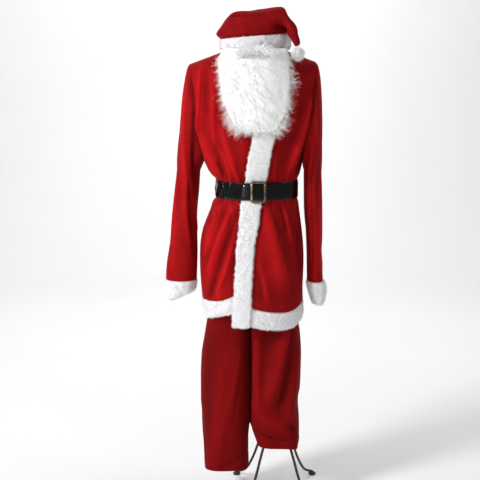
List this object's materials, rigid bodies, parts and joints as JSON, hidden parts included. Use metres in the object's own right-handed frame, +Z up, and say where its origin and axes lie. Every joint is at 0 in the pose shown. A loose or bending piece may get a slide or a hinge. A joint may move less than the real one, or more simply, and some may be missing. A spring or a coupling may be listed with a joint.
{
  "type": "santa suit on a dress form stand",
  "caption": "Red plush Santa suit with white fur trim, belt, hat and beard, worn by a limbless form on a stand with curved legs.",
  "frame": {"origin": "on the floor, under the middle of the whole object's footprint", "axes": "+Z up, -Y to the front, +X to the wearer's left"},
  "size_m": [0.5075, 0.3149, 1.529],
  "materials": {
    "form_jersey": "plain stretched jersey",
    "black_steel": "satin black",
    "foot_rubber": "matte",
    "red_plush": "short plush with a soft sheen",
    "white_fur": "short white plush pile",
    "black_vinyl": "glossy, wrinkled",
    "aged_brass": "antique, worn",
    "red_plush_trousers": "short plush with a soft sheen",
    "beard_hair": "long curly fibres",
    "white_elastic": "ribbed"
  },
  "bodies": {
    "root": {"form_torso": "form_jersey", "form_plate": "black_steel", "form_pole": "black_steel", "base_hub": "black_steel", "base_leg_1": "black_steel", "base_leg_2": "black_steel", "base_leg_3": "black_steel", "base_leg_4": "black_steel", "base_foot_1": "foot_rubber", "base_foot_2": "foot_rubber", "base_foot_3": "foot_rubber", "base_foot_4": "foot_rubber", "coat_front_right": "red_plush", "coat_front_left": "red_plush", "coat_back": "red_plush", "sleeve_right": "red_plush", "sleeve_left": "red_plush", "hat_crown": "red_plush", "cuff_right": "white_fur", "cuff_left": "white_fur", "hem_band_right": "white_fur", "hem_band_left": "white_fur", "hem_band_back": "white_fur", "front_strip": "white_fur", "hat_band": "white_fur", "hat_pompom": "white_fur", "belt": "black_vinyl", "buckle": "aged_brass", "trouser_leg_right": "red_plush_trousers", "trouser_leg_left": "red_plush_trousers", "waistband": "red_plush_trousers", "beard": "beard_hair", "moustache": "beard_hair", "beard_elastic": "white_elastic"}
  },
  "joints": []
}
